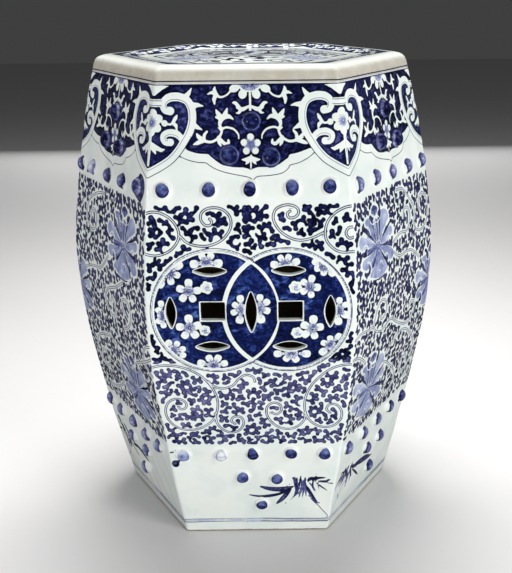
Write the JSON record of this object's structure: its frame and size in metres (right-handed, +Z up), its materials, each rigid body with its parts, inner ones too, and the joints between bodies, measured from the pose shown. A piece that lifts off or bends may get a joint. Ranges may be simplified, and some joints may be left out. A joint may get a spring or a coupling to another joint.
{
  "type": "garden seat",
  "caption": "Hexagonal barrel-shaped porcelain garden seat with a rimmed, slightly dished top, raised bosses and interlocking pierced coin medallions.",
  "frame": {"origin": "middle of the foot, on the surface that the seat stands on", "axes": "+Z up along the seat's axis, -Y towards the front wall with the pierced coin medallions, +X to its right"},
  "size_m": [0.3776, 0.3272, 0.466],
  "materials": {
    "glaze": "clear glossy glaze of a faint bluish green tone over white porcelain, with underglaze cobalt blue painting",
    "cobalt": "glossy glaze over raised domes painted in cobalt blue, with a white ring left round each",
    "biscuit": "unglazed fired porcelain body, matt, buff"
  },
  "bodies": {
    "root": {"seat_top": "glaze", "floor_slab": "biscuit", "wall_front": "glaze", "wall_front_right": "glaze", "wall_back_right": "glaze", "wall_back": "glaze", "wall_back_left": "glaze", "wall_front_left": "glaze", "row_boss_front_1": "cobalt", "row_boss_front_2": "cobalt", "row_boss_front_3": "cobalt", "row_boss_front_4": "cobalt", "row_boss_front_5": "cobalt", "collar_boss_front_1": "cobalt", "collar_boss_front_2": "cobalt", "collar_boss_front_3": "cobalt", "row_boss_front_right_1": "cobalt", "row_boss_front_right_2": "cobalt", "row_boss_front_right_3": "cobalt", "row_boss_front_right_4": "cobalt", "row_boss_front_right_5": "cobalt", "collar_boss_front_right_1": "cobalt", "collar_boss_front_right_2": "cobalt", "collar_boss_front_right_3": "cobalt", "row_boss_back_right_1": "cobalt", "row_boss_back_right_2": "cobalt", "row_boss_back_right_3": "cobalt", "row_boss_back_right_4": "cobalt", "row_boss_back_right_5": "cobalt", "collar_boss_back_right_1": "cobalt", "collar_boss_back_right_2": "cobalt", "collar_boss_back_right_3": "cobalt", "row_boss_back_1": "cobalt", "row_boss_back_2": "cobalt", "row_boss_back_3": "cobalt", "row_boss_back_4": "cobalt", "row_boss_back_5": "cobalt", "collar_boss_back_1": "cobalt", "collar_boss_back_2": "cobalt", "collar_boss_back_3": "cobalt", "row_boss_back_left_1": "cobalt", "row_boss_back_left_2": "cobalt", "row_boss_back_left_3": "cobalt", "row_boss_back_left_4": "cobalt", "row_boss_back_left_5": "cobalt", "collar_boss_back_left_1": "cobalt", "collar_boss_back_left_2": "cobalt", "collar_boss_back_left_3": "cobalt", "row_boss_front_left_1": "cobalt", "row_boss_front_left_2": "cobalt", "row_boss_front_left_3": "cobalt", "row_boss_front_left_4": "cobalt", "row_boss_front_left_5": "cobalt", "collar_boss_front_left_1": "cobalt", "collar_boss_front_left_2": "cobalt", "collar_boss_front_left_3": "cobalt"}
  },
  "joints": []
}
